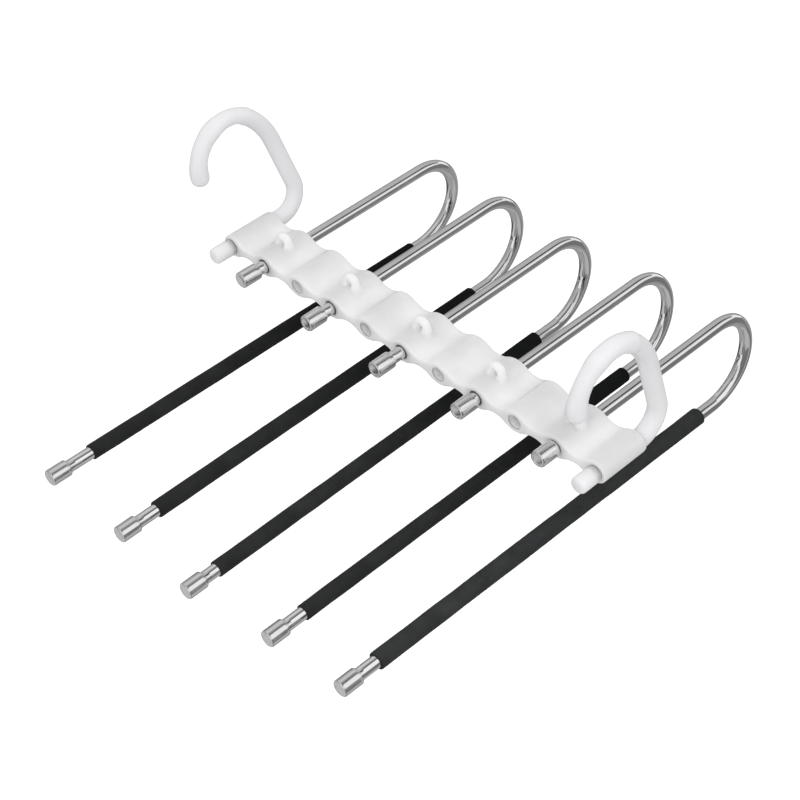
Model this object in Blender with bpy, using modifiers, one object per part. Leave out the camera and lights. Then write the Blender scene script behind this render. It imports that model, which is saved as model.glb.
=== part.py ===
"""Hanging trouser rack: a moulded bar on two hooks, with five swivelling and sliding U-shaped rods.

X runs along the bar, Y along the rods with their bends at +Y, and Z is up. The origin is on the
underside of the hooks' crowns, half way between the two, where the rack rests on a wardrobe rail.
"""
import math

import bmesh
import bpy
from mathutils import Matrix

MM = 0.001

# Clearance between two pieces that touch on the real rack.
GAP = 0.3 * MM

# Bar: a row of barrels joined by thinner webs, all one moulding.
BARREL_PITCH = 30.0 * MM
BARREL_COUNT = 11
BAR_DEPTH = 36.0 * MM
BARREL_HEIGHT = 14.5 * MM
WEB_HEIGHT = 5.9 * MM
BAR_EDGE_ROUND = 0.8 * MM
BORE_DIAMETER = 9.4 * MM

# Barrels, counted from the left, that carry the rods. The first and the last carry the hooks.
ROD_BARRELS = (2, 4, 6, 8, 10)

# Arched eyelet on top of each rod's barrel, with its small hole along Y. Its root stands in the
# barrel's wall, this share of the way from the bore to the crest.
EYELET_WIDTH = 9.4 * MM
EYELET_DEPTH = 5.0 * MM
EYELET_RISE = 3.6 * MM
EYELET_HOLE = 4.8 * MM
EYELET_ROOT_SHARE = 0.35

# Rod: a steel tube bent to a U, with a cap pressed on each end.
TUBE_DIAMETER = 8.0 * MM
TUBE_WALL = 0.6 * MM
ARM_SPACING = 63.0 * MM
SHORT_ARM = 143.2 * MM
LONG_ARM = 297.5 * MM
CAP_DIAMETER = 10.7 * MM
CAP_LENGTH = 13.5 * MM
CAP_FACE = 2.5 * MM
CAP_FRONT_CHAMFER = 0.9 * MM
CAP_BACK_CHAMFER = 0.5 * MM

# How far each rod stands pulled out of the bar: from the bar's face to its short arm's cap.
ROD_PULLS = (5.7 * MM, 7.0 * MM, 8.9 * MM, 2.5 * MM, 0.3 * MM)
# How far each rod hangs aside at rest, in degrees; plus swings its long arm towards -X.
ROD_SWINGS = (3.1, -0.3, -1.8, -3.4, 0.3)

# Foam sleeve on the long arm, and how far each one starts behind the tip cap.
SLEEVE_DIAMETER = 10.2 * MM
SLEEVE_LENGTH = 274.5 * MM
SLEEVE_STARTS = (19.0 * MM, 15.0 * MM, 11.0 * MM, 15.0 * MM, 15.0 * MM)

# Hook: one round moulding whose foot turns in an end barrel.
HOOK_DIAMETER = 10.8 * MM
HOOK_SHAFT_CLEARANCE = 0.3 * MM
# The left hook's straight foot behind the bar is longer than the right one's.
HOOK_FEET = (5.4 * MM, 0.4 * MM)
HOOK_BEND_RADIUS = 15.3 * MM
HOOK_STEM_ANGLE = math.radians(17.3)
HOOK_STEM = 36.9 * MM
HOOK_SHOULDER_RADIUS = 52.3 * MM
HOOK_SHOULDER_TURN = math.radians(31.5)
HOOK_CROWN_RADIUS = 26.0 * MM
HOOK_TIP_ANGLE = math.radians(184.0)
HOOK_SWINGS = (math.radians(-6.2), math.radians(0.9))
HOOK_CAP_DIAMETER = 10.7 * MM
HOOK_CAP_LENGTH = 14.8 * MM
HOOK_CAP_FACE = 3.0 * MM
HOOK_CAP_ROUND = 2.4 * MM

# Facets round each kind of piece.
TUBE_SIDES = 16
BORE_SIDES = 20
TURNED_STEPS = 16

BORE_RADIUS = BORE_DIAMETER / 2
TUBE_RADIUS = TUBE_DIAMETER / 2
HOOK_RADIUS = HOOK_DIAMETER / 2
SHAFT_RADIUS = BORE_RADIUS - HOOK_SHAFT_CLEARANCE
BAR_HALF_DEPTH = BAR_DEPTH / 2


def clear_scene():
    """Remove whatever the opened file holds."""
    for old in list(bpy.data.objects):
        bpy.data.objects.remove(old, do_unlink=True)


def new_collection(name):
    """A collection linked to the scene."""
    collection = bpy.data.collections.new(name)
    bpy.context.scene.collection.children.link(collection)
    return collection


def new_material(name, colour, roughness, metallic=0.0):
    """A Principled material of one colour."""
    material = bpy.data.materials.new(name)
    material.use_nodes = True
    shader = material.node_tree.nodes["Principled BSDF"]
    shader.inputs["Base Color"].default_value = (*colour, 1.0)
    shader.inputs["Roughness"].default_value = roughness
    shader.inputs["Metallic"].default_value = metallic
    return material


def add_object(name, data, material, collection, parent=None):
    """Name, colour and place one piece."""
    piece = bpy.data.objects.new(name, data)
    collection.objects.link(piece)
    piece.parent = parent
    if material is not None:
        data.materials.append(material)
    return piece


def add_pivot(name, collection, parent, location, turn=0.0):
    """An empty on a joint's axis, turned about Y."""
    pivot = bpy.data.objects.new(name, None)
    collection.objects.link(pivot)
    pivot.empty_display_size = 0.02
    pivot.parent = parent
    pivot.location = location
    pivot.rotation_euler = (0.0, turn, 0.0)
    return pivot


def make_cutter(cutter):
    """Mark an object as a helper that is not part of the rack."""
    cutter.hide_render = True
    cutter.display_type = 'WIRE'


def shade(mesh, angle=35.0):
    """Smooth round faces and keep real edges sharp."""
    mesh.shade_smooth()
    mesh.set_sharp_from_angle(angle=math.radians(angle))


def arc(centre, radius, start, end, steps):
    """Points on an arc in a plane, from angle start to angle end."""
    points = []
    for index in range(steps + 1):
        angle = start + (end - start) * index / steps
        points.append((centre[0] + radius * math.cos(angle), centre[1] + radius * math.sin(angle)))
    return points


def without_repeats(points):
    """Drop each point that repeats the one before it."""
    kept = [points[0]]
    for point in points[1:]:
        if math.dist(point, kept[-1]) > 1e-6:
            kept.append(point)
    if math.dist(kept[0], kept[-1]) < 1e-6:
        kept.pop()
    return kept


def plate_mesh(name, outlines, thickness):
    """A flat outline in XZ, with any holes, made thick along Y and returned as a welded mesh."""
    curve = bpy.data.curves.new(name, 'CURVE')
    curve.dimensions = '2D'
    curve.fill_mode = 'BOTH'
    curve.extrude = thickness / 2
    for outline in outlines:
        spline = curve.splines.new('POLY')
        spline.points.add(len(outline) - 1)
        for point, (x, z) in zip(spline.points, outline):
            point.co = (x, z, 0.0, 1.0)
        spline.use_cyclic_u = True
    holder = bpy.data.objects.new(name + "_curve", curve)
    holder.rotation_euler = (math.pi / 2, 0.0, 0.0)
    bpy.context.scene.collection.objects.link(holder)
    bpy.context.view_layer.update()
    evaluated = holder.evaluated_get(bpy.context.evaluated_depsgraph_get())
    mesh = bpy.data.meshes.new_from_object(evaluated)
    mesh.transform(holder.matrix_world)
    mesh.name = name
    bpy.data.objects.remove(holder, do_unlink=True)
    weld(mesh)
    return mesh


def weld(mesh):
    """Join a curve's loose caps to its sides, and make each flat cap one clean face."""
    work = bmesh.new()
    work.from_mesh(mesh)
    bmesh.ops.remove_doubles(work, verts=work.verts, dist=1e-6)
    bmesh.ops.dissolve_limit(work, angle_limit=math.radians(1.0), verts=work.verts, edges=work.edges)
    bmesh.ops.recalc_face_normals(work, faces=work.faces)
    work.to_mesh(mesh)
    work.free()


def joined_copies(name, mesh, offsets):
    """One mesh with a copy of another at each offset."""
    work = bmesh.new()
    for offset in offsets:
        part = bmesh.new()
        part.from_mesh(mesh)
        bmesh.ops.translate(part, verts=part.verts, vec=offset)
        moved = bpy.data.meshes.new("copy")
        part.to_mesh(moved)
        part.free()
        work.from_mesh(moved)
        bpy.data.meshes.remove(moved)
    result = bpy.data.meshes.new(name)
    work.to_mesh(result)
    work.free()
    return result


def barrel_x(number):
    """Where a barrel stands along the bar, counted from 1 at the left."""
    return (number - (BARREL_COUNT + 1) / 2) * BARREL_PITCH


def bar_outline():
    """The bar's wavy section in XZ: equal arcs swell over each barrel and dip over each web."""
    crest = BARREL_HEIGHT / 2
    dip = WEB_HEIGHT / 2
    half_pitch = BARREL_PITCH / 2
    drop = crest - dip
    wave_radius = (half_pitch ** 2 + drop ** 2) / (4 * drop)
    half_angle = math.asin(half_pitch / 2 / wave_radius)
    up = math.pi / 2
    steps = 6
    top = []
    for number in range(1, BARREL_COUNT + 1):
        x = barrel_x(number)
        left = 0.0 if number == 1 else half_angle
        right = 0.0 if number == BARREL_COUNT else half_angle
        swell_centre = (x, crest - wave_radius)
        top += arc(swell_centre, wave_radius, up + left, up - right, steps if left and right else 3)
        if number < BARREL_COUNT:
            dip_centre = (x + half_pitch, dip + wave_radius)
            top += arc(dip_centre, wave_radius, -up - half_angle, -up + half_angle, steps)
    right_end = arc((barrel_x(BARREL_COUNT), 0.0), crest, up, -up, 12)
    bottom = [(x, -z) for x, z in reversed(top)]
    left_end = arc((barrel_x(1), 0.0), crest, -up, -3 * up, 12)
    return without_repeats(top + right_end + bottom + left_end)


def eyelet_outlines():
    """An arch with a round hole. Z = 0 is the crest of the barrel that carries it."""
    radius = EYELET_WIDTH / 2
    root = (BARREL_HEIGHT / 2 - BORE_RADIUS) * (EYELET_ROOT_SHARE - 1.0)
    arch = [(radius, root)]
    arch += arc((0.0, EYELET_RISE), radius, 0.0, math.pi, 12)
    arch.append((-radius, root))
    hole = arc((0.0, EYELET_RISE), EYELET_HOLE / 2, 0.0, -2 * math.pi, 12)[:-1]
    return [arch, hole]


def rod_along_y(name, radius, length, sides):
    """A plain cylinder along Y, centred on the origin."""
    work = bmesh.new()
    bmesh.ops.create_cone(work, cap_ends=True, segments=sides, radius1=radius, radius2=radius,
                          depth=length)
    bmesh.ops.rotate(work, verts=work.verts, cent=(0.0, 0.0, 0.0),
                     matrix=Matrix.Rotation(math.pi / 2, 3, 'X'))
    mesh = bpy.data.meshes.new(name)
    work.to_mesh(mesh)
    work.free()
    return mesh


def add_boolean(piece, name, helper, operation):
    """Join a helper to a piece, or cut it out."""
    boolean = piece.modifiers.new(name, 'BOOLEAN')
    boolean.operation = operation
    boolean.solver = 'EXACT'
    boolean.object = helper


def build_bar(parts, cutters, material, frame):
    """The moulded bar with its eyelets and a bore through every barrel."""
    bar = add_object("bar", plate_mesh("bar", [bar_outline()], BAR_DEPTH), material, parts, frame)
    shade(bar.data)
    rounding = bar.modifiers.new("edge_round", 'BEVEL')
    rounding.width = BAR_EDGE_ROUND
    rounding.segments = 2
    rounding.limit_method = 'ANGLE'
    rounding.angle_limit = math.radians(60.0)

    bore = rod_along_y("bore", BORE_RADIUS, BAR_DEPTH + 4 * MM, BORE_SIDES)
    places = [(barrel_x(number), 0.0, 0.0) for number in range(1, BARREL_COUNT + 1)]
    bores = add_object("bores", joined_copies("bores", bore, places), None, cutters, frame)
    make_cutter(bores)
    add_boolean(bar, "bores", bores, 'DIFFERENCE')

    crest = BARREL_HEIGHT / 2
    eyelet = plate_mesh("eyelet", eyelet_outlines(), EYELET_DEPTH)
    seats = [(barrel_x(number), 0.0, crest) for number in ROD_BARRELS]
    eyelets = add_object("eyelets", joined_copies("eyelets", eyelet, seats), None, cutters, frame)
    make_cutter(eyelets)
    add_boolean(bar, "eyelets", eyelets, 'UNION')
    return bar


def turned(name, profile, material, collection, parent):
    """A round piece about its local Z axis, from a half profile of (radius, z) points."""
    mesh = bpy.data.meshes.new(name)
    points = [(radius, 0.0, z) for radius, z in profile]
    edges = [(index, index + 1) for index in range(len(points) - 1)]
    mesh.from_pydata(points, edges, [])
    piece = add_object(name, mesh, material, collection, parent)
    screw = piece.modifiers.new("turn", 'SCREW')
    screw.axis = 'Z'
    screw.steps = TURNED_STEPS
    screw.render_steps = TURNED_STEPS
    screw.use_merge_vertices = True
    screw.merge_threshold = 1e-6
    screw.use_smooth_shade = True
    return piece


def face_forward(piece, y, z=0.0):
    """Turn a round piece so that its local +Z points along -Y, and place it."""
    piece.rotation_euler = (math.pi / 2, 0.0, 0.0)
    piece.location = (0.0, y, z)


def rod_cap_profile():
    """A cup: its mouth is at z = 0, and its closed face at z = CAP_LENGTH."""
    radius = CAP_DIAMETER / 2
    bore = TUBE_RADIUS + GAP
    depth = CAP_LENGTH - CAP_FACE
    return [
        (0.0, CAP_LENGTH),
        (radius - CAP_FRONT_CHAMFER, CAP_LENGTH),
        (radius, CAP_LENGTH - CAP_FRONT_CHAMFER),
        (radius, CAP_BACK_CHAMFER),
        (radius - CAP_BACK_CHAMFER, 0.0),
        (bore, 0.0),
        (bore, depth),
        (0.0, depth),
    ]


def hook_cap_profile():
    """A deeper cup with a rounded front, for the end of a hook's shaft."""
    radius = HOOK_CAP_DIAMETER / 2
    bore = SHAFT_RADIUS + GAP
    depth = HOOK_CAP_LENGTH - HOOK_CAP_FACE
    centre = (radius - HOOK_CAP_ROUND, HOOK_CAP_LENGTH - HOOK_CAP_ROUND)
    profile = [(0.0, HOOK_CAP_LENGTH)]
    profile += arc(centre, HOOK_CAP_ROUND, math.pi / 2, 0.0, 4)
    profile += [(radius, 0.0), (bore, 0.0), (bore, depth), (0.0, depth)]
    return profile


def sleeve_profile():
    """A long ring, open at both ends. It ends where it starts, so it closes on itself."""
    inner = TUBE_RADIUS + GAP
    outer = SLEEVE_DIAMETER / 2
    half = SLEEVE_LENGTH / 2
    return [(inner, half), (outer, half), (outer, -half), (inner, -half), (inner, half)]


def rod_path():
    """The tube's centreline in YZ, from the short arm's end, round the bend, to the long arm's.

    Y = 0 is the mouth of the short arm's cap, and Z = 0 is the short arm's axis.
    """
    in_cap = CAP_LENGTH - CAP_FACE - GAP
    radius = ARM_SPACING / 2
    points = [(-in_cap, 0.0)]
    points += arc((SHORT_ARM, -radius), radius, math.pi / 2, -math.pi / 2, 12)
    points.append((SHORT_ARM - LONG_ARM - in_cap, -ARM_SPACING))
    return points


def swept_mesh(name, path, radius, sides):
    """The open skin of a tube along a path in YZ."""
    curve = bpy.data.curves.new(name, 'CURVE')
    curve.dimensions = '3D'
    curve.bevel_depth = radius
    curve.bevel_resolution = sides // 2 - 2
    spline = curve.splines.new('POLY')
    spline.points.add(len(path) - 1)
    for point, (y, z) in zip(spline.points, path):
        point.co = (0.0, y, z, 1.0)
    holder = bpy.data.objects.new(name + "_curve", curve)
    bpy.context.scene.collection.objects.link(holder)
    bpy.context.view_layer.update()
    evaluated = holder.evaluated_get(bpy.context.evaluated_depsgraph_get())
    mesh = bpy.data.meshes.new_from_object(evaluated)
    mesh.name = name
    bpy.data.objects.remove(holder, do_unlink=True)
    return mesh


def build_rod(number, parts, materials, frame):
    """One U-shaped rod: tube, foam sleeve and two caps, on an empty on the barrel's axis."""
    name = "rod_%d" % number
    pull = ROD_PULLS[number - 1]
    place = (barrel_x(ROD_BARRELS[number - 1]), -BAR_HALF_DEPTH - pull, 0.0)
    swing = math.radians(ROD_SWINGS[number - 1])
    pivot = add_pivot(name + "_pivot", parts, frame, place, swing)

    mesh = swept_mesh(name + "_tube", rod_path(), TUBE_RADIUS, TUBE_SIDES)
    tube = add_object(name + "_tube", mesh, materials["steel"], parts, pivot)
    mesh.shade_smooth()
    wall = tube.modifiers.new("wall", 'SOLIDIFY')
    wall.thickness = TUBE_WALL
    wall.offset = -1.0

    tip_y = SHORT_ARM - LONG_ARM
    short_cap = turned(name + "_short_cap", rod_cap_profile(), materials["steel"], parts, pivot)
    face_forward(short_cap, 0.0)
    tip_cap = turned(name + "_tip_cap", rod_cap_profile(), materials["steel"], parts, pivot)
    face_forward(tip_cap, tip_y, -ARM_SPACING)

    sleeve = turned(name + "_sleeve", sleeve_profile(), materials["foam"], parts, pivot)
    middle = tip_y + SLEEVE_STARTS[number - 1] + SLEEVE_LENGTH / 2
    face_forward(sleeve, middle, -ARM_SPACING)


def hook_stations(foot):
    """The hook's centreline in YZ with its radius at each point, from the shaft's end to the tip.

    Y = 0 is the middle of the bar's depth, and Z = 0 is the barrel's axis.
    """
    shaft_end = -BAR_HALF_DEPTH - GAP - (HOOK_CAP_LENGTH - HOOK_CAP_FACE - GAP)
    shoulder = BAR_HALF_DEPTH + GAP
    stations = [(shaft_end, 0.0, SHAFT_RADIUS), (shoulder - 0.01 * MM, 0.0, SHAFT_RADIUS)]
    stations.append((shoulder, 0.0, HOOK_RADIUS))

    lean = HOOK_STEM_ANGLE
    crown_start = lean + HOOK_SHOULDER_TURN
    bend_centre = (BAR_HALF_DEPTH + foot, HOOK_BEND_RADIUS)
    bend = arc(bend_centre, HOOK_BEND_RADIUS, -math.pi / 2, lean, 9)
    bent = arc(shoulder_centre(foot), HOOK_SHOULDER_RADIUS, lean, crown_start, 5)
    crown = arc(crown_centre(foot), HOOK_CROWN_RADIUS, crown_start, HOOK_TIP_ANGLE, 13)
    stations += [(y, z, HOOK_RADIUS) for y, z in bend + bent + crown[1:]]
    return stations + rounded_tip(crown[-1], HOOK_TIP_ANGLE + math.pi / 2)


def rounded_tip(end, heading):
    """Stations past the hook's end that close it like a ball."""
    stations = []
    steps = 4
    for step in range(1, steps + 1):
        angle = math.pi / 2 * step / (steps + 0.4)
        ahead = HOOK_RADIUS * math.sin(angle)
        y = end[0] + ahead * math.cos(heading)
        z = end[1] + ahead * math.sin(heading)
        stations.append((y, z, HOOK_RADIUS * math.cos(angle)))
    return stations


def shoulder_centre(foot):
    """The centre of the slack arc in YZ that leads from the hook's stem into its crown."""
    lean = HOOK_STEM_ANGLE
    reach = HOOK_BEND_RADIUS - HOOK_SHOULDER_RADIUS
    y = BAR_HALF_DEPTH + foot + reach * math.cos(lean) - HOOK_STEM * math.sin(lean)
    z = HOOK_BEND_RADIUS + reach * math.sin(lean) + HOOK_STEM * math.cos(lean)
    return (y, z)


def crown_centre(foot):
    """The centre of the hook's crown in YZ."""
    start = HOOK_STEM_ANGLE + HOOK_SHOULDER_TURN
    y, z = shoulder_centre(foot)
    step = HOOK_SHOULDER_RADIUS - HOOK_CROWN_RADIUS
    return (y + step * math.cos(start), z + step * math.sin(start))


def saddle(foot, swing):
    """Y and Z of the crown's underside, where a hook that leans by swing sits on the rail."""
    y, z = crown_centre(foot)
    return (y, (z + HOOK_CROWN_RADIUS - HOOK_RADIUS) * math.cos(swing))


def build_hook(side, barrel, foot, swing, parts, materials, frame):
    """One hook and the cap that keeps its shaft in the barrel."""
    name = "hook_" + side
    pivot = add_pivot(name + "_pivot", parts, frame, (barrel_x(barrel), 0.0, 0.0), swing)
    curve = bpy.data.curves.new(name, 'CURVE')
    curve.dimensions = '3D'
    curve.bevel_depth = HOOK_RADIUS
    curve.bevel_resolution = TUBE_SIDES // 2 - 2
    curve.use_fill_caps = True
    stations = hook_stations(foot)
    spline = curve.splines.new('POLY')
    spline.points.add(len(stations) - 1)
    spline.use_smooth = True
    for point, (y, z, radius) in zip(spline.points, stations):
        point.co = (0.0, y, z, 1.0)
        point.radius = radius / HOOK_RADIUS
    add_object(name, curve, materials["hook"], parts, pivot)

    cap = turned(name + "_cap", hook_cap_profile(), materials["hook"], parts, pivot)
    face_forward(cap, -BAR_HALF_DEPTH - GAP)


def main():
    clear_scene()
    parts = new_collection("trouser_rack")
    cutters = new_collection("cutters")
    materials = {
        "bar": new_material("clear_white_plastic", (0.76, 0.77, 0.77), 0.35),
        "hook": new_material("white_plastic", (0.79, 0.80, 0.83), 0.3),
        "steel": new_material("polished_steel", (0.75, 0.75, 0.76), 0.16, 1.0),
        "foam": new_material("black_foam", (0.015, 0.016, 0.016), 0.9),
    }
    seats = [saddle(foot, swing) for foot, swing in zip(HOOK_FEET, HOOK_SWINGS)]
    rail_y = (seats[0][0] + seats[1][0]) / 2
    rail_z = (seats[0][1] + seats[1][1]) / 2
    frame = add_pivot("bar_frame", parts, None, (0.0, -rail_y, -rail_z))

    build_bar(parts, cutters, materials["bar"], frame)
    for number in range(1, len(ROD_BARRELS) + 1):
        build_rod(number, parts, materials, frame)
    build_hook("left", 1, HOOK_FEET[0], HOOK_SWINGS[0], parts, materials, frame)
    build_hook("right", BARREL_COUNT, HOOK_FEET[1], HOOK_SWINGS[1], parts, materials, frame)


main()
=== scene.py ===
import math

import bpy
from mathutils import Matrix, Vector, noise


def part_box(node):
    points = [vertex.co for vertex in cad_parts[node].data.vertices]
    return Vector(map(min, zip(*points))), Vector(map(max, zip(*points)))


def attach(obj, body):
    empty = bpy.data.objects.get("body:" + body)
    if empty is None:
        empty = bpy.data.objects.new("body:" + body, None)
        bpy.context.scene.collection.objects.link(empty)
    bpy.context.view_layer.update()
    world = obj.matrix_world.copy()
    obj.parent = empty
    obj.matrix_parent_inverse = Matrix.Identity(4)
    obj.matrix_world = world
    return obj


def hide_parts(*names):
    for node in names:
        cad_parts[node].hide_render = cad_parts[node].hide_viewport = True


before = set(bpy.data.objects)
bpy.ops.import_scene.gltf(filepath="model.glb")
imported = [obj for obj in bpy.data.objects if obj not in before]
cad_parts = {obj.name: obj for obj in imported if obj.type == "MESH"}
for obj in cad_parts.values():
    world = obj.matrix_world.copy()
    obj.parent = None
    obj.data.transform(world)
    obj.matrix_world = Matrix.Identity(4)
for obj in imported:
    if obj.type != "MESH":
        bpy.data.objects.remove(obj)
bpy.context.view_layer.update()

MM = 0.001

# Bar. What the CAD also has is the same size as in the part's source.
BARREL_PITCH = 30.0 * MM
BARREL_COUNT = 11
BAR_DEPTH = 36.0 * MM
BARREL_HEIGHT = 14.5 * MM
WEB_HEIGHT = 5.9 * MM
BORE_RADIUS = 4.7 * MM
BORE_FLARE = 0.3 * MM
BAR_EDGE = 1.0 * MM
ROD_BARRELS = (2, 4, 6, 8, 10)
HALF_DEPTH = BAR_DEPTH / 2
CREST = BARREL_HEIGHT / 2
# Places along X of the valley creases; the bar gives them a small bump and painted crease shade.
CREASE_LINE_PLACES = (-0.1295, -0.0970, -0.0370, 0.0830, 0.1405)

# Eyelets on the bar. Their feet spread below EYELET_SPREAD_TOP, by a share of the depth below it.
EYELET_RING = 3.9 * MM
EYELET_THICK = 2.3 * MM
EYELET_DEEP = 3.0 * MM
EYELET_RISE = 2.4 * MM
EYELET_ANKLE = 0.5 * MM
EYELET_ROOT = 3.0 * MM
EYELET_SINK = 0.2 * MM
EYELET_SPREAD = 0.40
EYELET_SPREAD_TOP = 2.2 * MM
EYELET_STEPS = 24
EYELET_SIDES = 20

# Rods: tubes and caps, one value a rod where they differ.
TUBE_RADIUS = 4.0 * MM
TUBE_IN_CAP = 3.0 * MM
ARM_SPACING = 63.0 * MM
ARM_STEPS = 12
SHORT_ARM = 143.2 * MM
LONG_ARM = 297.5 * MM
CAP_RADIUS = 5.35 * MM
CAP_LENGTH = 13.5 * MM
CAP_RIM = 1.1 * MM
CAP_BORE_RADIUS = TUBE_RADIUS + 0.1 * MM
ROD_PULLS = (5.7 * MM, 7.0 * MM, 8.9 * MM, 2.5 * MM, 0.3 * MM)
ROD_SWINGS = (3.1, -0.3, -1.8, -3.4, 0.3)
TIP_REACH = (0.9 * MM, 1.1 * MM, 2.0 * MM, 0.9 * MM, 0.0)
# How far each arm lies aside in its loose bore: offset and slope of the short arm, then of the
# long arm. Round the bend the one changes into the other, except near the arms' axes.
ROD_LINES = ((0.08 * MM, 0.0030, -0.5 * MM, 0.0085),
             (-0.12 * MM, -0.0043, 0.2 * MM, -0.0060),
             (-0.12 * MM, -0.0043, -0.1 * MM, -0.0096),
             (0.0, 0.0, 0.1 * MM, 0.0),
             (0.12 * MM, 0.0043, 0.6 * MM, 0.0110))
CHANGE_MARGIN = 6.0 * MM

# Foam sleeves, one value a rod. FOAM_FAR is the foam's tone at the bend, as a share of FOAM_TONES.
SLEEVE_RADII = (5.0 * MM, 5.35 * MM, 5.05 * MM, 4.95 * MM, 5.5 * MM)
SLEEVE_LENGTHS = (274.5 * MM, 271.0 * MM, 274.0 * MM, 274.7 * MM, 272.3 * MM)
SLEEVE_STARTS = (16.7 * MM, 13.7 * MM, 7.8 * MM, 12.5 * MM, 13.7 * MM)
SLEEVE_INNER = TUBE_RADIUS + 0.05 * MM
SLEEVE_EDGE = 0.7 * MM
SLEEVE_FACE = 0.15 * MM
SLEEVE_LINING = 3.0 * MM
EDGE_ANGLES = (0.0, 0.4, 0.8, 1.2, 1.57)
SWELL = 0.16 * MM
FINE_SWELL = 0.05 * MM
FOAM_TONES = (0.0130, 0.0145, 0.0170, 0.0160, 0.0260)
FOAM_FAR = (0.45, 0.45, 0.45, 0.45, 0.9)

# Hooks: left and right where they differ. HOOK_THINS says where along the crown a hook is
# thinnest, and by what share. A wave swells it by HOOK_SWELL at the tip, from HOOK_SWELL_START
# on, and also at the crown's start and halfway, where the wave is up again.
GAP = 0.3 * MM
HOOK_RADII = (5.5 * MM, 5.85 * MM)
HOOK_THINS = ((0.20, 0.06), (0.68, 0.12))
HOOK_THIN_REACH = 0.2
SHAFT_RADIUS = 4.4 * MM
SHAFT_REACH = 9.0 * MM
HOOK_FEET = (5.4 * MM, 0.4 * MM)
HOOK_BEND_RADIUS = 15.3 * MM
HOOK_STEM_ANGLE = math.radians(17.3)
HOOK_STEM = 36.9 * MM
HOOK_SHOULDER_RADIUS = 52.3 * MM
HOOK_SHOULDER_TURN = math.radians(31.5)
HOOK_CROWN_RADIUS = 26.0 * MM
HOOK_TIP_ANGLE = math.radians(184.0)
HOOK_SWELL = 0.075
HOOK_SWELL_START = 0.85
HOOK_SWELL_LENGTH = 0.12
HOOK_SWINGS = (-6.2, 0.9)
HOOK_CAP_RADIUS = 5.35 * MM
HOOK_CAP_LENGTH = 14.8 * MM
HOOK_CAP_EDGE = 2.2 * MM
HOOK_CAP_DOME = 0.15 * MM

# Camera and studio. The camera's place is measured from the middle of the bar.
CAMERA_LENS = 91.9
CAMERA_RIGHT = (0.7078, 0.7057, -0.0325)
CAMERA_UP = (-0.4541, 0.4897, 0.7443)
CAMERA_BACK = (0.5412, -0.5120, 0.6670)
CAMERA_PLACE = (0.66162, -0.64642, 0.77931)
WHITE = (1.0, 1.0, 1.0)
SOFT_LIGHT = 0.725
FLOOR_HEIGHT = -1.05
FLOOR_HALF_SIZE = 6.0
FLOOR_GLOW = 0.45
PANEL_STEPS = 10
PANEL_RADIUS = 0.92
PANEL_HEIGHT = -0.05
# Each panel's name, start and end angle in degrees, how much nearer than PANEL_RADIUS it stands,
# strength, and start and end along Y.
PANELS = (
    ("panel_1", 212.0, 232.0, 0.0, 0.10, -2.4, 4.0),
    ("panel_2", 200.0, 212.0, 0.0, 0.30, -2.4, 4.0),
    ("panel_3", 150.0, 200.0, 0.0, 0.40, -2.4, 4.0),
    ("panel_4", 78.0, 150.0, 0.0, 0.54, -2.4, 4.0),
    ("panel_5", 57.0, 78.0, 0.0, 0.04, -2.4, 4.0),
    ("panel_6", 42.0, 57.0, 0.0, 0.62, -2.4, 4.0),
    ("panel_7", -50.0, 12.0, 0.0, 0.20, -2.4, 4.0),
    ("panel_8", -75.0, -50.0, 0.0, 0.33, -2.4, 4.0),
    ("panel_9", -104.0, -75.0, 0.0, 0.42, -2.4, 4.0),
    ("panel_10", -128.0, -104.0, 0.0, 0.36, -2.4, 4.0),
    ("panel_front", -165.0, -95.0, 0.04, 0.60, -2.4, -0.32),
    ("panel_far", -75.0, 12.0, 0.02, 0.50, 0.28, 0.45),
    ("panel_cap_1", 20.0, 66.0, 0.04, 1.05, -0.45, 0.535),
    ("panel_cap_2", 66.0, 84.0, 0.04, 0.12, -0.45, 0.535),
    ("panel_cap_3", 84.0, 106.0, 0.04, 0.33, -0.45, 0.535),
    ("panel_cap_4", 106.0, 150.0, 0.04, 0.70, -0.45, 0.535),
    ("panel_low", -66.0, -34.0, 0.04, 0.52, -0.45, 0.28),
)

low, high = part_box("bar")
AXIS_Y = (low.y + high.y) / 2
AXIS_Z = low.z + CREST
ROUND = 64


# --------------------------------------------------- shader building blocks

def new_material(name, colour, roughness, metallic=0.0):
    material = bpy.data.materials.new(name)
    material.use_nodes = True
    shader = material.node_tree.nodes["Principled BSDF"]
    shader.inputs["Base Color"].default_value = (*colour, 1.0)
    shader.inputs["Roughness"].default_value = roughness
    shader.inputs["Metallic"].default_value = metallic
    return material, material.node_tree, shader


def object_coords(tree, scale):
    """Object coordinates stretched by scale."""
    coords = tree.nodes.new("ShaderNodeTexCoord")
    mapping = tree.nodes.new("ShaderNodeMapping")
    mapping.inputs["Scale"].default_value = scale
    tree.links.new(coords.outputs["Object"], mapping.inputs["Vector"])
    return mapping.outputs["Vector"]


def split(tree, vector):
    """A vector's x, y and z."""
    node = tree.nodes.new("ShaderNodeSeparateXYZ")
    tree.links.new(vector, node.inputs[0])
    return node.outputs


def maths(tree, operation, first, second):
    node = tree.nodes.new("ShaderNodeMath")
    node.operation = operation
    for socket, value in zip(node.inputs, (first, second)):
        if isinstance(value, float):
            socket.default_value = value
        else:
            tree.links.new(value, socket)
    return node.outputs[0]


def soft_step(tree, value, start, end, before=0.0, after=1.0):
    """Goes smoothly from before to after while value goes from start to end."""
    node = tree.nodes.new("ShaderNodeMapRange")
    node.interpolation_type = 'SMOOTHSTEP'
    node.inputs["From Min"].default_value = start
    node.inputs["From Max"].default_value = end
    node.inputs["To Min"].default_value = before
    node.inputs["To Max"].default_value = after
    tree.links.new(value, node.inputs["Value"])
    return node.outputs["Result"]


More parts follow.
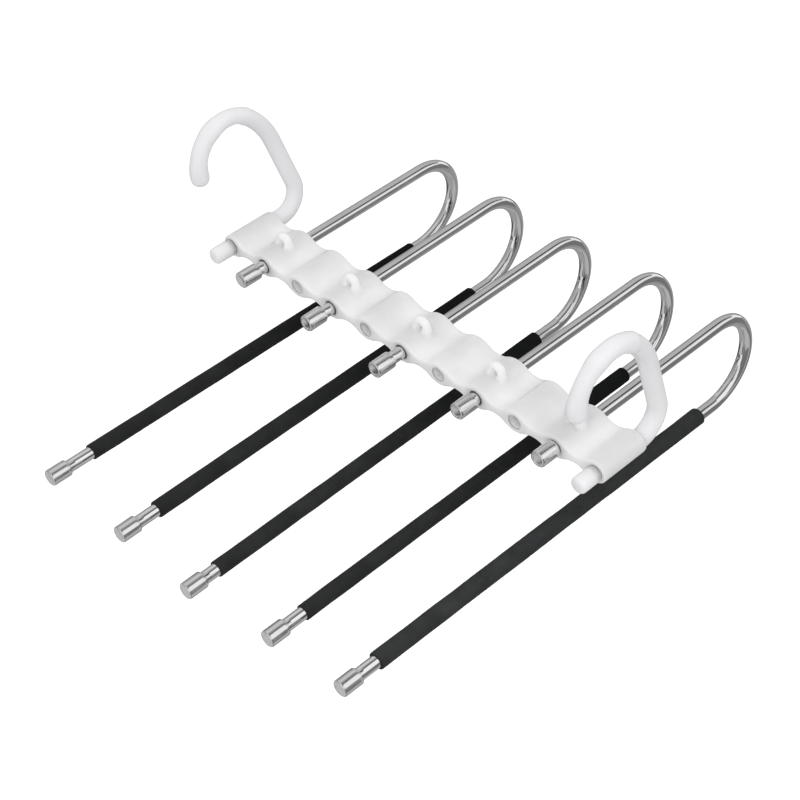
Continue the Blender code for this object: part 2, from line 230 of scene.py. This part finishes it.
def mixed(tree, factor, colour, other):
    """The colour of a socket, turned into the other colour by factor."""
    node = tree.nodes.new("ShaderNodeMix")
    node.data_type = 'RGBA'
    tree.links.new(factor, node.inputs[0])
    tree.links.new(colour, node.inputs[6])
    node.inputs[7].default_value = (*other, 1.0)
    return node.outputs[2]


def noise_texture(tree, vector, scale, detail=2.0, rough=0.5):
    texture = tree.nodes.new("ShaderNodeTexNoise")
    texture.inputs["Scale"].default_value = scale
    texture.inputs["Detail"].default_value = detail
    texture.inputs["Roughness"].default_value = rough
    tree.links.new(vector, texture.inputs["Vector"])
    return texture.outputs[0]


def ramp(tree, factor, stops):
    """A colour ramp from (position, colour) stops."""
    node = tree.nodes.new("ShaderNodeValToRGB")
    points = node.color_ramp.elements
    while len(points) < len(stops):
        points.new(1.0)
    for point, (place, colour) in zip(points, stops):
        point.position = place
        point.color = (*colour, 1.0)
    tree.links.new(factor, node.inputs["Fac"])
    return node.outputs["Color"]


def bump(tree, height, strength, distance, into=None, before=None):
    """A bump over the normal before, wired into a shader where one is given."""
    node = tree.nodes.new("ShaderNodeBump")
    node.inputs["Strength"].default_value = strength
    node.inputs["Distance"].default_value = distance
    tree.links.new(height, node.inputs["Height"])
    if before is not None:
        tree.links.new(before, node.inputs["Normal"])
    if into is not None:
        tree.links.new(node.outputs["Normal"], into.inputs["Normal"])
    return node.outputs["Normal"]


def grey(tone):
    return (tone, tone, tone)


# ---------------------------------------------------------------- materials

def plastic(name, pale, deep, roughness, cloud_scale):
    """Slightly see-through moulded plastic with faint clouds."""
    material, tree, shader = new_material(name, pale, roughness)
    coords = object_coords(tree, (1.0, 1.0, 1.0))
    clouds = noise_texture(tree, coords, cloud_scale, 3.0, 0.45)
    tree.links.new(ramp(tree, clouds, ((0.35, deep), (0.68, pale))), shader.inputs["Base Color"])
    shader.inputs["Subsurface Weight"].default_value = 0.9
    shader.inputs["Subsurface Radius"].default_value = (1.0, 1.0, 1.0)
    shader.inputs["Subsurface Scale"].default_value = 0.010
    shader.inputs["IOR"].default_value = 1.49
    ripple = noise_texture(tree, coords, 90.0, 2.0, 0.4)
    bump(tree, ripple, 0.10, 0.002, shader)
    return material


def steel(name, roughness):
    """Polished stainless steel with fine marks along the tube."""
    material, tree, shader = new_material(name, (0.80, 0.80, 0.805), roughness, 1.0)
    streaks = noise_texture(tree, object_coords(tree, (900.0, 12.0, 900.0)), 1.0, 2.0, 0.5)
    tone = ramp(tree, streaks, ((0.3, grey(roughness * 0.75)), (0.7, grey(roughness * 1.3))))
    tree.links.new(tone, shader.inputs["Roughness"])
    smudge = noise_texture(tree, object_coords(tree, (1.0, 1.0, 1.0)), 45.0, 2.0, 0.5)
    colour = ramp(tree, smudge, ((0.3, (0.74, 0.74, 0.745)), (0.7, (0.82, 0.82, 0.825))))
    tree.links.new(colour, shader.inputs["Base Color"])
    bump(tree, streaks, 0.05, 0.0003, shader)
    return material


def foam(name, tone, far_tone):
    """Black foam rubber with fine closed cells, darker towards the bend by far_tone."""
    material, tree, shader = new_material(name, grey(tone), 0.82)
    coords = object_coords(tree, (1.0, 1.0, 1.0))
    patches = noise_texture(tree, coords, 70.0, 3.0, 0.6)
    dark = (tone * 0.72, tone * 0.78, tone * 0.80)
    pale = (tone * 1.25, tone * 1.33, tone * 1.36)
    y = split(tree, coords)[1]
    far = soft_step(tree, y, -90.0 * MM, 85.0 * MM, 1.0, far_tone)
    scaled = tree.nodes.new("ShaderNodeVectorMath")
    scaled.operation = 'SCALE'
    tree.links.new(ramp(tree, patches, ((0.3, dark), (0.7, pale))), scaled.inputs[0])
    tree.links.new(far, scaled.inputs["Scale"])
    tree.links.new(scaled.outputs["Vector"], shader.inputs["Base Color"])
    shine = maths(tree, 'MULTIPLY', maths(tree, 'POWER', far, 2.0), 0.35)
    tree.links.new(shine, shader.inputs["Specular IOR Level"])
    cells = tree.nodes.new("ShaderNodeTexVoronoi")
    cells.inputs["Scale"].default_value = 1500.0
    tree.links.new(coords, cells.inputs["Vector"])
    pores = bump(tree, cells.outputs["Distance"], 0.35, 0.0003)
    lumps = noise_texture(tree, coords, 300.0, 2.0, 0.5)
    bump(tree, lumps, 0.25, 0.0008, shader, pores)
    return material


def crease_shade_lines(tree, coords, x, y, z, right):
    """1 on the faint crease lines, which are broken, face up, and fade forwards and to the right;
    they carry painted crease shade as well as a bump.
    """
    lines = None
    for place in CREASE_LINE_PLACES:
        away = maths(tree, 'ABSOLUTE', maths(tree, 'SUBTRACT', x, place), 0.0)
        line = soft_step(tree, away, 0.0, 0.0008, 1.0, 0.0)
        lines = line if lines is None else maths(tree, 'MAXIMUM', lines, line)
    behind = soft_step(tree, y, -20.0 * MM, 6.0 * MM)
    broken = ramp(tree, noise_texture(tree, coords, 260.0, 2.0, 0.5),
                  ((0.40, grey(0.4)), (0.60, grey(1.0))))
    lines = maths(tree, 'MULTIPLY', lines, maths(tree, 'MULTIPLY', behind, broken))
    lines = maths(tree, 'MULTIPLY', lines, maths(tree, 'GREATER_THAN', z, 0.0))
    faint = maths(tree, 'SUBTRACT', 1.0, maths(tree, 'MULTIPLY', right, 0.6))
    return maths(tree, 'MULTIPLY', lines, faint)


def bore_shade(tree, x, y, z):
    """Mask of painted shade: 1 inside the bores that hold a rod, and less at the mouths of the
    empty ones.
    """
    across = maths(tree, 'PINGPONG', x, BARREL_PITCH / 2)
    squares = maths(tree, 'ADD', maths(tree, 'MULTIPLY', across, across),
                    maths(tree, 'MULTIPLY', z, z))
    inside = maths(tree, 'LESS_THAN', maths(tree, 'SQRT', squares, 0.0), BORE_RADIUS + 0.06 * MM)
    with_rod = maths(tree, 'LESS_THAN', maths(tree, 'PINGPONG', x, BARREL_PITCH), BARREL_PITCH / 2)
    mouth = soft_step(tree, maths(tree, 'ABSOLUTE', y, 0.0),
                      HALF_DEPTH - 2.0 * MM, HALF_DEPTH - 0.5 * MM)
    shade = maths(tree, 'MAXIMUM', with_rod, maths(tree, 'MULTIPLY', mouth, 0.75))
    return maths(tree, 'MULTIPLY', inside, shade)


def bar_material():
    """The bar's plastic: crease lines with a bump and painted shade, a paler right end, eyelets
    painted paler as painted light, and painted shade in the bores.
    """
    material = plastic("clear_white_plastic", grey(0.885), grey(0.785), 0.36, 45.0)
    tree = material.node_tree
    shader = tree.nodes["Principled BSDF"]
    colour = shader.inputs["Base Color"].links[0].from_socket
    normal = shader.inputs["Normal"].links[0].from_socket
    coords = tree.nodes.new("ShaderNodeTexCoord").outputs["Object"]
    x, y, z = split(tree, coords)
    right = soft_step(tree, x, 108.0 * MM, 145.0 * MM)
    lines = crease_shade_lines(tree, coords, x, y, z, right)
    bump(tree, lines, 0.6, 0.0005, shader, normal)
    colour = mixed(tree, maths(tree, 'MULTIPLY', right, 0.85), colour, (0.98, 0.975, 0.97))
    # Painted shade: the crease lines are darkened towards grey.
    colour = mixed(tree, maths(tree, 'MULTIPLY', lines, 0.75), colour, grey(0.42))
    # Painted light: the eyelets are painted paler, lifting the shade in and round their holes.
    arch = soft_step(tree, z, CREST - 0.5 * MM, CREST + 1.5 * MM)
    colour = mixed(tree, arch, colour, grey(0.90))
    # Painted shade: the bore walls are darkened where a rod sits, and less at the mouths of the
    # empty bores.
    colour = mixed(tree, bore_shade(tree, x, y, z), colour, grey(0.25))
    tree.links.new(colour, shader.inputs["Base Color"])
    return material


bar_plastic = bar_material()
hook_plastic = plastic("white_plastic", (0.825, 0.823, 0.838), (0.775, 0.773, 0.793), 0.33, 22.0)
tube_steel = steel("polished_steel", 0.09)
cap_steel = steel("turned_steel", 0.20)
foams = [foam("black_foam_%d" % (index + 1), tone, FOAM_FAR[index])
         for index, tone in enumerate(FOAM_TONES)]


# ------------------------------------------------------------------- shapes

def new_object(name, mesh, material, smooth=True):
    obj = bpy.data.objects.new(name, mesh)
    bpy.context.scene.collection.objects.link(obj)
    mesh.materials.append(material)
    if smooth:
        mesh.shade_smooth()
    return obj


def arc(centre, radius, start, end, steps):
    points = []
    for index in range(steps + 1):
        angle = start + (end - start) * index / steps
        points.append((centre[0] + radius * math.cos(angle), centre[1] + radius * math.sin(angle)))
    return points


def loft(name, rings, material, ring_shaped=False):
    """A skin through rings of points, all with the same number of points.

    A ring-shaped one joins its last ring to its first; any other has flat ends.
    """
    count = len(rings[0])
    verts = [point for ring in rings for point in ring]
    faces = []
    for row in range(len(rings) - (0 if ring_shaped else 1)):
        here = row * count
        below = (row + 1) % len(rings) * count
        for side in range(count):
            after = (side + 1) % count
            faces.append((here + side, here + after, below + after, below + side))
    if not ring_shaped:
        faces.append(tuple(reversed(range(count))))
        start = (len(rings) - 1) * count
        faces.append(tuple(range(start, start + count)))
    mesh = bpy.data.meshes.new(name)
    mesh.from_pydata(verts, [], faces)
    mesh.validate()
    return new_object(name, mesh, material)


def turned(name, profile, material, sides=ROUND):
    """A body turned round the Y axis from a profile of (radius, y), front end first."""
    angles = [2 * math.pi * k / sides for k in range(sides)]
    rings = [[(radius * math.sin(angle), y, radius * math.cos(angle)) for angle in angles]
             for radius, y in profile]
    return loft(name, rings, material)


def swept(name, stations, material):
    """A round bar along stations of (y, z, radius) in the YZ plane."""
    rings = []
    last = len(stations) - 1
    for index, (y, z, radius) in enumerate(stations):
        before = stations[max(index - 1, 0)]
        after = stations[min(index + 1, last)]
        along = Vector((after[0] - before[0], after[1] - before[1])).normalized()
        ring = []
        for k in range(ROUND):
            angle = 2 * math.pi * k / ROUND
            aside = radius * math.sin(angle)
            up = radius * math.cos(angle)
            ring.append((aside, y - up * along.y, z + up * along.x))
        rings.append(ring)
    return loft(name, rings, material)


def place(obj, x, swing, body, slot_name, *nodes):
    """Turns a piece made about its barrel's axis, and puts it where it rides."""
    turn = Matrix.Rotation(math.radians(swing), 4, 'Y')
    obj.matrix_world = Matrix.Translation((x, AXIS_Y, AXIS_Z)) @ turn
    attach(obj, body)
    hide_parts(*nodes)
    return obj


def barrel_x(number):
    return (number - (BARREL_COUNT + 1) / 2) * BARREL_PITCH


# ---------------------------------------------------------------------- bar

def bar_outline(steps):
    """The bar's wavy outline in XZ: convex at each barrel, hollow at each web."""
    dip = WEB_HEIGHT / 2
    half = BARREL_PITCH / 2
    drop = CREST - dip
    radius = (half * half + drop * drop) / (4 * drop)
    turn = math.asin(half / 2 / radius)
    quarter = math.pi / 2
    top = []
    first = barrel_x(1)
    for index in range(BARREL_COUNT - 1):
        x = first + index * BARREL_PITCH
        fall = arc((x, CREST - radius), radius, quarter, quarter - turn, steps)
        web = arc((x + half, dip + radius), radius, -quarter - turn, -quarter + turn, 2 * steps)
        rise = arc((x + BARREL_PITCH, CREST - radius), radius, quarter + turn, quarter, steps)
        top += fall[(1 if index else 0):] + web[1:] + rise[1:]
    nose = arc((-first, 0.0), CREST, quarter, -quarter, 3 * steps)[1:]
    bottom = [(x, -z) for x, z in reversed(top)][1:]
    back = arc((first, 0.0), CREST, -quarter, -3 * math.pi / 2, 3 * steps)[1:-1]
    return top + nose + bottom + back


def plate(name, outline, depth, material):
    """A plate of that outline in XZ, thick along Y."""
    rings = [[(x, y, z) for x, z in outline] for y in (-depth / 2, depth / 2)]
    return loft(name, rings, material)


def eyelet():
    """A fat round arch on the crest, with feet that spread into the barrel."""
    path = [(-EYELET_RING, -EYELET_ROOT, math.pi), (-EYELET_RING, -EYELET_ANKLE, math.pi)]
    for index in range(EYELET_STEPS + 1):
        angle = math.pi * (1 - index / EYELET_STEPS)
        path.append((EYELET_RING * math.cos(angle), EYELET_RISE + EYELET_RING * math.sin(angle),
                     angle))
    path += [(EYELET_RING, -EYELET_ANKLE, 0.0), (EYELET_RING, -EYELET_ROOT, 0.0)]
    rings = []
    for x, z, angle in path:
        spread = max(0.0, EYELET_SPREAD_TOP - z) * EYELET_SPREAD
        ring = []
        for k in range(EYELET_SIDES):
            turn = 2 * math.pi * k / EYELET_SIDES
            out = (EYELET_THICK + spread) * math.cos(turn)
            along = (EYELET_DEEP + spread) * math.sin(turn)
            ring.append((x + out * math.cos(angle), along, z + out * math.sin(angle)))
        rings.append(ring)
    return loft("eyelet", rings, bar_plastic)


def apply_modifiers(obj):
    bpy.context.view_layer.update()
    evaluated = obj.evaluated_get(bpy.context.evaluated_depsgraph_get())
    mesh = bpy.data.meshes.new_from_object(evaluated)
    obj.modifiers.clear()
    old = obj.data
    obj.data = mesh
    bpy.data.meshes.remove(old)


def cut(target, tool, operation):
    """Joins the tool to the target or cuts it out, and removes it."""
    modifier = target.modifiers.new(operation, 'BOOLEAN')
    modifier.operation = operation
    modifier.solver = 'EXACT'
    modifier.object = tool
    apply_modifiers(target)
    bpy.data.objects.remove(tool, do_unlink=True)


def joined(name, objects, material):
    """One object of several that stand apart."""
    bpy.context.view_layer.update()
    verts = []
    faces = []
    for obj in objects:
        start = len(verts)
        verts += [obj.matrix_world @ v.co for v in obj.data.vertices]
        faces += [tuple(start + i for i in p.vertices) for p in obj.data.polygons]
        bpy.data.objects.remove(obj, do_unlink=True)
    mesh = bpy.data.meshes.new(name)
    mesh.from_pydata(verts, [], faces)
    return new_object(name, mesh, material)


def round_edges(bar):
    rounding = bar.modifiers.new("edge", 'BEVEL')
    rounding.width = BAR_EDGE
    rounding.segments = 3
    rounding.limit_method = 'ANGLE'
    rounding.angle_limit = math.radians(60)
    apply_modifiers(bar)


def melt(bar):
    """Makes bar and eyelets one even mesh with softened joins."""
    remesh = bar.modifiers.new("remesh", 'REMESH')
    remesh.mode = 'VOXEL'
    remesh.voxel_size = 0.63 * MM
    remesh.adaptivity = 0.0
    soften = bar.modifiers.new("soften", 'SMOOTH')
    soften.factor = 0.5
    soften.iterations = 6
    apply_modifiers(bar)


def bore_tool(number):
    """What a bore takes out: round, with flared mouths."""
    flared = BORE_RADIUS + BORE_FLARE + MM
    end = HALF_DEPTH
    profile = [(flared, -end - MM), (BORE_RADIUS, -end + BORE_FLARE),
               (BORE_RADIUS, end - BORE_FLARE), (flared, end + MM)]
    bore = turned("bore", profile, bar_plastic, 64)
    bore.location = (barrel_x(number), 0.0, 0.0)
    return bore


def build_bar():
    bar = plate("bar_shell", bar_outline(6), BAR_DEPTH, bar_plastic)
    round_edges(bar)
    eyelets = []
    for number in ROD_BARRELS:
        arch = eyelet()
        arch.location = (barrel_x(number), 0.0, CREST - EYELET_SINK)
        eyelets.append(arch)
    cut(bar, joined("eyelets", eyelets, bar_plastic), 'UNION')
    melt(bar)
    bores = [bore_tool(number) for number in range(1, BARREL_COUNT + 1)]
    cut(bar, joined("bores", bores, bar_plastic), 'DIFFERENCE')
    bar.data.shade_smooth()
    bar.data.set_sharp_from_angle(angle=math.radians(40))
    bar.data.materials.clear()
    bar.data.materials.append(bar_plastic)
    place(bar, 0.0, 0.0, "bar", "bar_plastic", "bar")


# --------------------------------------------------------------------- rods

def rod_cap_profile():
    """A turned end cap: dimpled face, rounded rim, small step at the mouth."""
    r = CAP_RADIUS
    front = -CAP_LENGTH
    rim = r - CAP_RIM
    profile = [(0.05 * MM, front + 0.30 * MM), (2.6 * MM, front + 0.28 * MM),
               (3.0 * MM, front + 0.2 * MM), (3.3 * MM, front + 0.05 * MM), (3.55 * MM, front),
               (rim, front)]
    profile += [(rim + CAP_RIM * math.sin(a), front + CAP_RIM - CAP_RIM * math.cos(a))
                for a in (0.2, 0.5, 0.8, 1.1, 1.35, 1.57)]
    profile += [(r, -3.0 * MM), (r, -0.75 * MM), (r - 0.1 * MM, -0.45 * MM),
                (r - 0.35 * MM, -0.18 * MM), (r - 0.55 * MM, -0.04 * MM), (r - 0.8 * MM, 0.0),
                (CAP_BORE_RADIUS, 0.0), (CAP_BORE_RADIUS, -2.0 * MM)]
    return profile


def tube_stations(reach):
    """The tube from inside the near cap, round the bend, to inside the far cap.

    Y = 0 is at the near cap's mouth. The far cap stands further out by reach.
    """
    radius = ARM_SPACING / 2
    near_end = -CAP_LENGTH + TUBE_IN_CAP
    far_end = SHORT_ARM - LONG_ARM - reach + near_end
    points = [(near_end + (SHORT_ARM - near_end) * k / ARM_STEPS, 0.0) for k in range(ARM_STEPS)]
    points += arc((SHORT_ARM, -radius), radius, math.pi / 2, -math.pi / 2,
                  56)
    points += [(SHORT_ARM + (far_end - SHORT_ARM) * k / ARM_STEPS, -ARM_SPACING)
               for k in range(1, ARM_STEPS + 1)]
    return [(y, z, TUBE_RADIUS) for y, z in points]


def sleeve_ring(number, sides, y, radius, wobble):
    """A ring of a sleeve, made uneven by wobble."""
    points = []
    for k in range(sides):
        angle = 2 * math.pi * k / sides
        spot = Vector((math.sin(angle) * 0.9, y * 55.0, math.cos(angle) * 0.9 + number * 7.0))
        swell = wobble * (noise.noise(spot) * SWELL + noise.noise(spot * 3.7) * FINE_SWELL)
        points.append(((radius + swell) * math.sin(angle), y, (radius + swell) * math.cos(angle)))
    return points


def build_sleeve(number):
    """The foam sleeve: a slightly uneven tube with soft cut ends, closed along the steel tube."""
    start = SHORT_ARM - LONG_ARM + SLEEVE_STARTS[number - 1]
    length = SLEEVE_LENGTHS[number - 1]
    outer = SLEEVE_RADII[number - 1]
    edge = SLEEVE_EDGE
    steps = 180
    sides = 48
    # Each ring's y, radius and unevenness.
    stations = [(start + SLEEVE_LINING, SLEEVE_INNER, 0.0),
                (start + SLEEVE_FACE, SLEEVE_INNER, 0.0)]
    stations += [(start + edge - edge * math.cos(a), outer - edge + edge * math.sin(a), 0.5)
                 for a in EDGE_ANGLES]
    stations += [(start + edge + (length - 2 * edge) * k / steps, outer, 1.0)
                 for k in range(1, steps)]
    stations += [(start + length - edge + edge * math.cos(a),
                  outer - edge + edge * math.sin(a), 0.5) for a in reversed(EDGE_ANGLES)]
    stations += [(start + length - SLEEVE_FACE, SLEEVE_INNER, 0.0),
                 (start + length - SLEEVE_LINING, SLEEVE_INNER, 0.0)]
    rings = [sleeve_ring(number, sides, *station) for station in stations]
    return loft("rod_%d_foam" % number, rings, foams[number - 1], ring_shaped=True)


def shifted(obj, y, z, number):
    """Moves a rod's piece to its arm, and aside as that arm lies."""
    short_offset, short_slope, long_offset, long_slope = ROD_LINES[number - 1]
    for vertex in obj.data.vertices:
        vertex.co.y += y
        vertex.co.z += z
        down = (-vertex.co.z - CHANGE_MARGIN) / (ARM_SPACING - 2 * CHANGE_MARGIN)
        down = min(max(down, 0.0), 1.0)
        down = down * down * (3.0 - 2.0 * down)
        vertex.co.x += (short_offset + short_slope * vertex.co.y) * (1.0 - down)
        vertex.co.x += (long_offset + long_slope * vertex.co.y) * down
    return obj


def build_rod(number):
    name = "rod_%d" % number
    x = barrel_x(ROD_BARRELS[number - 1])
    swing = ROD_SWINGS[number - 1]
    mouth = -HALF_DEPTH - ROD_PULLS[number - 1]
    reach = TIP_REACH[number - 1]
    tip = mouth + SHORT_ARM - LONG_ARM - reach
    tube = swept(name + "_steel", tube_stations(reach), tube_steel)
    shifted(tube, mouth, 0.0, number)
    place(tube, x, swing, name, "steel", name + "_tube")
    cap = shifted(turned(name + "_near_cap", rod_cap_profile(), cap_steel), mouth, 0.0, number)
    place(cap, x, swing, name + "_slider", "steel", name + "_short_cap")
    cap = turned(name + "_far_cap", rod_cap_profile(), cap_steel)
    shifted(cap, tip, -ARM_SPACING, number)
    place(cap, x, swing, name, "steel", name + "_tip_cap")
    sleeve = shifted(build_sleeve(number), mouth, -ARM_SPACING, number)
    place(sleeve, x, swing, name, "foam", name + "_sleeve")


# -------------------------------------------------------------------- hooks

def hook_stations(foot, thick, thin):
    """The hook from the shaft in the barrel to the rounded tip, as (y, z, radius)."""
    lean = HOOK_STEM_ANGLE
    crown_start = lean + HOOK_SHOULDER_TURN
    shoulder = HALF_DEPTH + GAP
    points = [(-HALF_DEPTH - SHAFT_REACH, 0.0, SHAFT_RADIUS),
              (shoulder - 0.25 * MM, 0.0, SHAFT_RADIUS),
              (shoulder - 0.02 * MM, 0.0, SHAFT_RADIUS + 0.1 * MM),
              (shoulder, 0.0, thick - 0.35 * MM),
              (shoulder + 0.12 * MM, 0.0, thick - 0.1 * MM),
              (shoulder + 0.35 * MM, 0.0, thick)]
    bend = arc((HALF_DEPTH + foot, HOOK_BEND_RADIUS), HOOK_BEND_RADIUS, -math.pi / 2, lean, 28)
    stem_start = bend[-1]
    stem_end = (stem_start[0] - HOOK_STEM * math.sin(lean),
                stem_start[1] + HOOK_STEM * math.cos(lean))
    reach = HOOK_SHOULDER_RADIUS
    slack_centre = (stem_end[0] - reach * math.cos(lean), stem_end[1] - reach * math.sin(lean))
    slack = arc(slack_centre, reach, lean, crown_start, 14)
    step = HOOK_SHOULDER_RADIUS - HOOK_CROWN_RADIUS
    crown_centre = (slack_centre[0] + step * math.cos(crown_start),
                    slack_centre[1] + step * math.sin(crown_start))
    crown = arc(crown_centre, HOOK_CROWN_RADIUS, crown_start, HOOK_TIP_ANGLE, 40)
    bend = [(y, z) for y, z in bend if y > shoulder + 0.4 * MM or z > 0.5 * MM]
    points += [(y, z, thick) for y, z in bend + slack]
    for index, (y, z) in enumerate(crown[1:]):
        along = (index + 1) / (len(crown) - 1)
        dip = thin[1] * math.exp(-((along - thin[0]) / HOOK_THIN_REACH) ** 2)
        wave = math.sin(math.pi / 2 * (along - HOOK_SWELL_START) / HOOK_SWELL_LENGTH)
        if along >= HOOK_SWELL_START + HOOK_SWELL_LENGTH:
            wave = 1.0
        swell = HOOK_SWELL * max(0.0, wave)
        points.append((y, z, thick * (1.0 - dip + swell)))
    end_y, end_z, end_radius = points[-1]
    heading = HOOK_TIP_ANGLE + math.pi / 2
    for index in range(1, 11):
        angle = math.pi / 2 * index / 10.3
        ahead = end_radius * math.sin(angle)
        points.append((end_y + ahead * math.cos(heading), end_z + ahead * math.sin(heading),
                       end_radius * math.cos(angle)))
    return points


def hook_cap_profile():
    """The cap on the hook's shaft: a softly domed face and a small lip at the bar."""
    r = HOOK_CAP_RADIUS
    back = -HALF_DEPTH - GAP
    front = back - HOOK_CAP_LENGTH
    edge = HOOK_CAP_EDGE
    rim = front + HOOK_CAP_DOME
    profile = [(0.05 * MM, front), (1.5 * MM, front + 0.04 * MM), (r - edge, rim)]
    profile += [(r - edge + edge * math.sin(a), rim + edge * (1 - math.cos(a)))
                for a in (0.25, 0.5, 0.75, 1.0, 1.25, 1.5)]
    profile += [(r, back - 9.0 * MM), (r, back - 1.0 * MM), (r - 0.1 * MM, back - 0.5 * MM),
                (r - 0.35 * MM, back - 0.1 * MM), (r - 0.6 * MM, back),
                (SHAFT_RADIUS + 0.1 * MM, back), (SHAFT_RADIUS + 0.1 * MM, back - 2.0 * MM)]
    return profile


def build_hook(side, number, foot, swing, thick, thin):
    name = "hook_" + side
    x = barrel_x(number)
    hook = swept(name + "_moulding", hook_stations(foot, thick, thin), hook_plastic)
    place(hook, x, swing, name, "hook_plastic", name)
    cap = turned(name + "_end_cap", hook_cap_profile(), hook_plastic)
    place(cap, x, swing, name, "hook_plastic", name + "_cap")


build_bar()
for rod_number in range(1, 6):
    build_rod(rod_number)
build_hook("left", 1, HOOK_FEET[0], HOOK_SWINGS[0], HOOK_RADII[0], HOOK_THINS[0])
build_hook("right", BARREL_COUNT, HOOK_FEET[1], HOOK_SWINGS[1], HOOK_RADII[1], HOOK_THINS[1])


# ------------------------------------------------------- camera and lighting

def make_camera():
    """The photograph's camera."""
    data = bpy.data.cameras.new("camera")
    data.sensor_width = 36.0
    data.lens = CAMERA_LENS
    data.clip_start = 0.01
    data.clip_end = 50.0
    camera = bpy.data.objects.new("camera", data)
    bpy.context.scene.collection.objects.link(camera)
    turn = Matrix((CAMERA_RIGHT, CAMERA_UP, CAMERA_BACK)).transposed()
    x, y, z = CAMERA_PLACE
    spot = Vector((x, AXIS_Y + y, AXIS_Z + z))
    camera.matrix_world = Matrix.Translation(spot) @ turn.to_4x4()
    bpy.context.scene.camera = camera


def glow(tree, kind, strength):
    """A white background or emission shader."""
    node = tree.nodes.new(kind)
    node.inputs["Color"].default_value = (*WHITE, 1.0)
    node.inputs["Strength"].default_value = strength
    return node.outputs[0]


def seen_brighter(tree, lighting, seen, surface):
    """Wires up two shaders: one lights the scene, and one is seen directly, mirrored or through."""
    path = tree.nodes.new("ShaderNodeLightPath")
    direct = maths(tree, 'MAXIMUM', path.outputs["Is Camera Ray"], path.outputs["Is Glossy Ray"])
    mix = tree.nodes.new("ShaderNodeMixShader")
    tree.links.new(maths(tree, 'MAXIMUM', direct, path.outputs["Is Transmission Ray"]),
                   mix.inputs[0])
    tree.links.new(lighting, mix.inputs[1])
    tree.links.new(seen, mix.inputs[2])
    tree.links.new(mix.outputs[0], surface)


def make_world():
    """White to the eye, and a softer light on everything."""
    world = bpy.data.worlds.new("studio")
    bpy.context.scene.world = world
    world.use_nodes = True
    tree = world.node_tree
    soft = tree.nodes["Background"]
    soft.inputs["Color"].default_value = (*WHITE, 1.0)
    soft.inputs["Strength"].default_value = SOFT_LIGHT
    white = glow(tree, "ShaderNodeBackground", 1.0)
    seen_brighter(tree, soft.outputs[0], white, tree.nodes["World Output"].inputs["Surface"])


def make_floor():
    """A wide pale floor well below the hanging rack."""
    size = FLOOR_HALF_SIZE
    corners = [(-size, -size, FLOOR_HEIGHT), (size, -size, FLOOR_HEIGHT),
               (size, size, FLOOR_HEIGHT), (-size, size, FLOOR_HEIGHT)]
    mesh = bpy.data.meshes.new("floor")
    mesh.from_pydata(corners, [], [(0, 1, 2, 3)])
    material, tree, shader = new_material("floor_white", grey(0.9), 0.9)
    both = tree.nodes.new("ShaderNodeAddShader")
    tree.links.new(shader.outputs[0], both.inputs[0])
    tree.links.new(glow(tree, "ShaderNodeEmission", FLOOR_GLOW), both.inputs[1])
    seen_brighter(tree, shader.outputs[0], both.outputs[0],
                  tree.nodes["Material Output"].inputs["Surface"])
    floor = new_object("floor", mesh, material, smooth=False)


def card(name, start, end, nearer, strength, near, far):
    """A studio panel bent round the Y axis, seen only in reflections."""
    radius = PANEL_RADIUS - nearer
    verts = []
    faces = []
    for index in range(PANEL_STEPS + 1):
        angle = math.radians(start + (end - start) * index / PANEL_STEPS)
        x = radius * math.cos(angle)
        z = radius * math.sin(angle) + PANEL_HEIGHT
        verts += [(x, near, z), (x, far, z)]
        if index:
            faces.append((2 * index - 2, 2 * index - 1, 2 * index + 1, 2 * index))
    mesh = bpy.data.meshes.new(name)
    mesh.from_pydata(verts, [], faces)
    material = bpy.data.materials.new(name)
    material.use_nodes = True
    tree = material.node_tree
    tree.nodes.remove(tree.nodes["Principled BSDF"])
    tree.links.new(glow(tree, "ShaderNodeEmission", strength),
                   tree.nodes["Material Output"].inputs["Surface"])
    panel = new_object(name, mesh, material)
    panel.visible_camera = False
    panel.visible_shadow = False
    panel.visible_diffuse = False


def make_lamp(name, spot, target, size, power):
    """A square lamp that isn't seen in reflections."""
    data = bpy.data.lights.new(name, 'AREA')
    data.shape = 'SQUARE'
    data.size = size
    data.energy = power
    lamp = bpy.data.objects.new(name, data)
    bpy.context.scene.collection.objects.link(lamp)
    lamp.location = spot
    lamp.rotation_euler = (Vector(target) - Vector(spot)).to_track_quat('-Z', 'Y').to_euler()
    lamp.visible_glossy = False


make_camera()
make_world()
make_floor()
for panel_values in PANELS:
    card(*panel_values)
make_lamp("key", (1.1, -0.8, 1.9), (0.0, 0.0, -0.08), 1.2, 20.0)

scene = bpy.context.scene
scene.view_settings.view_transform = 'Standard'
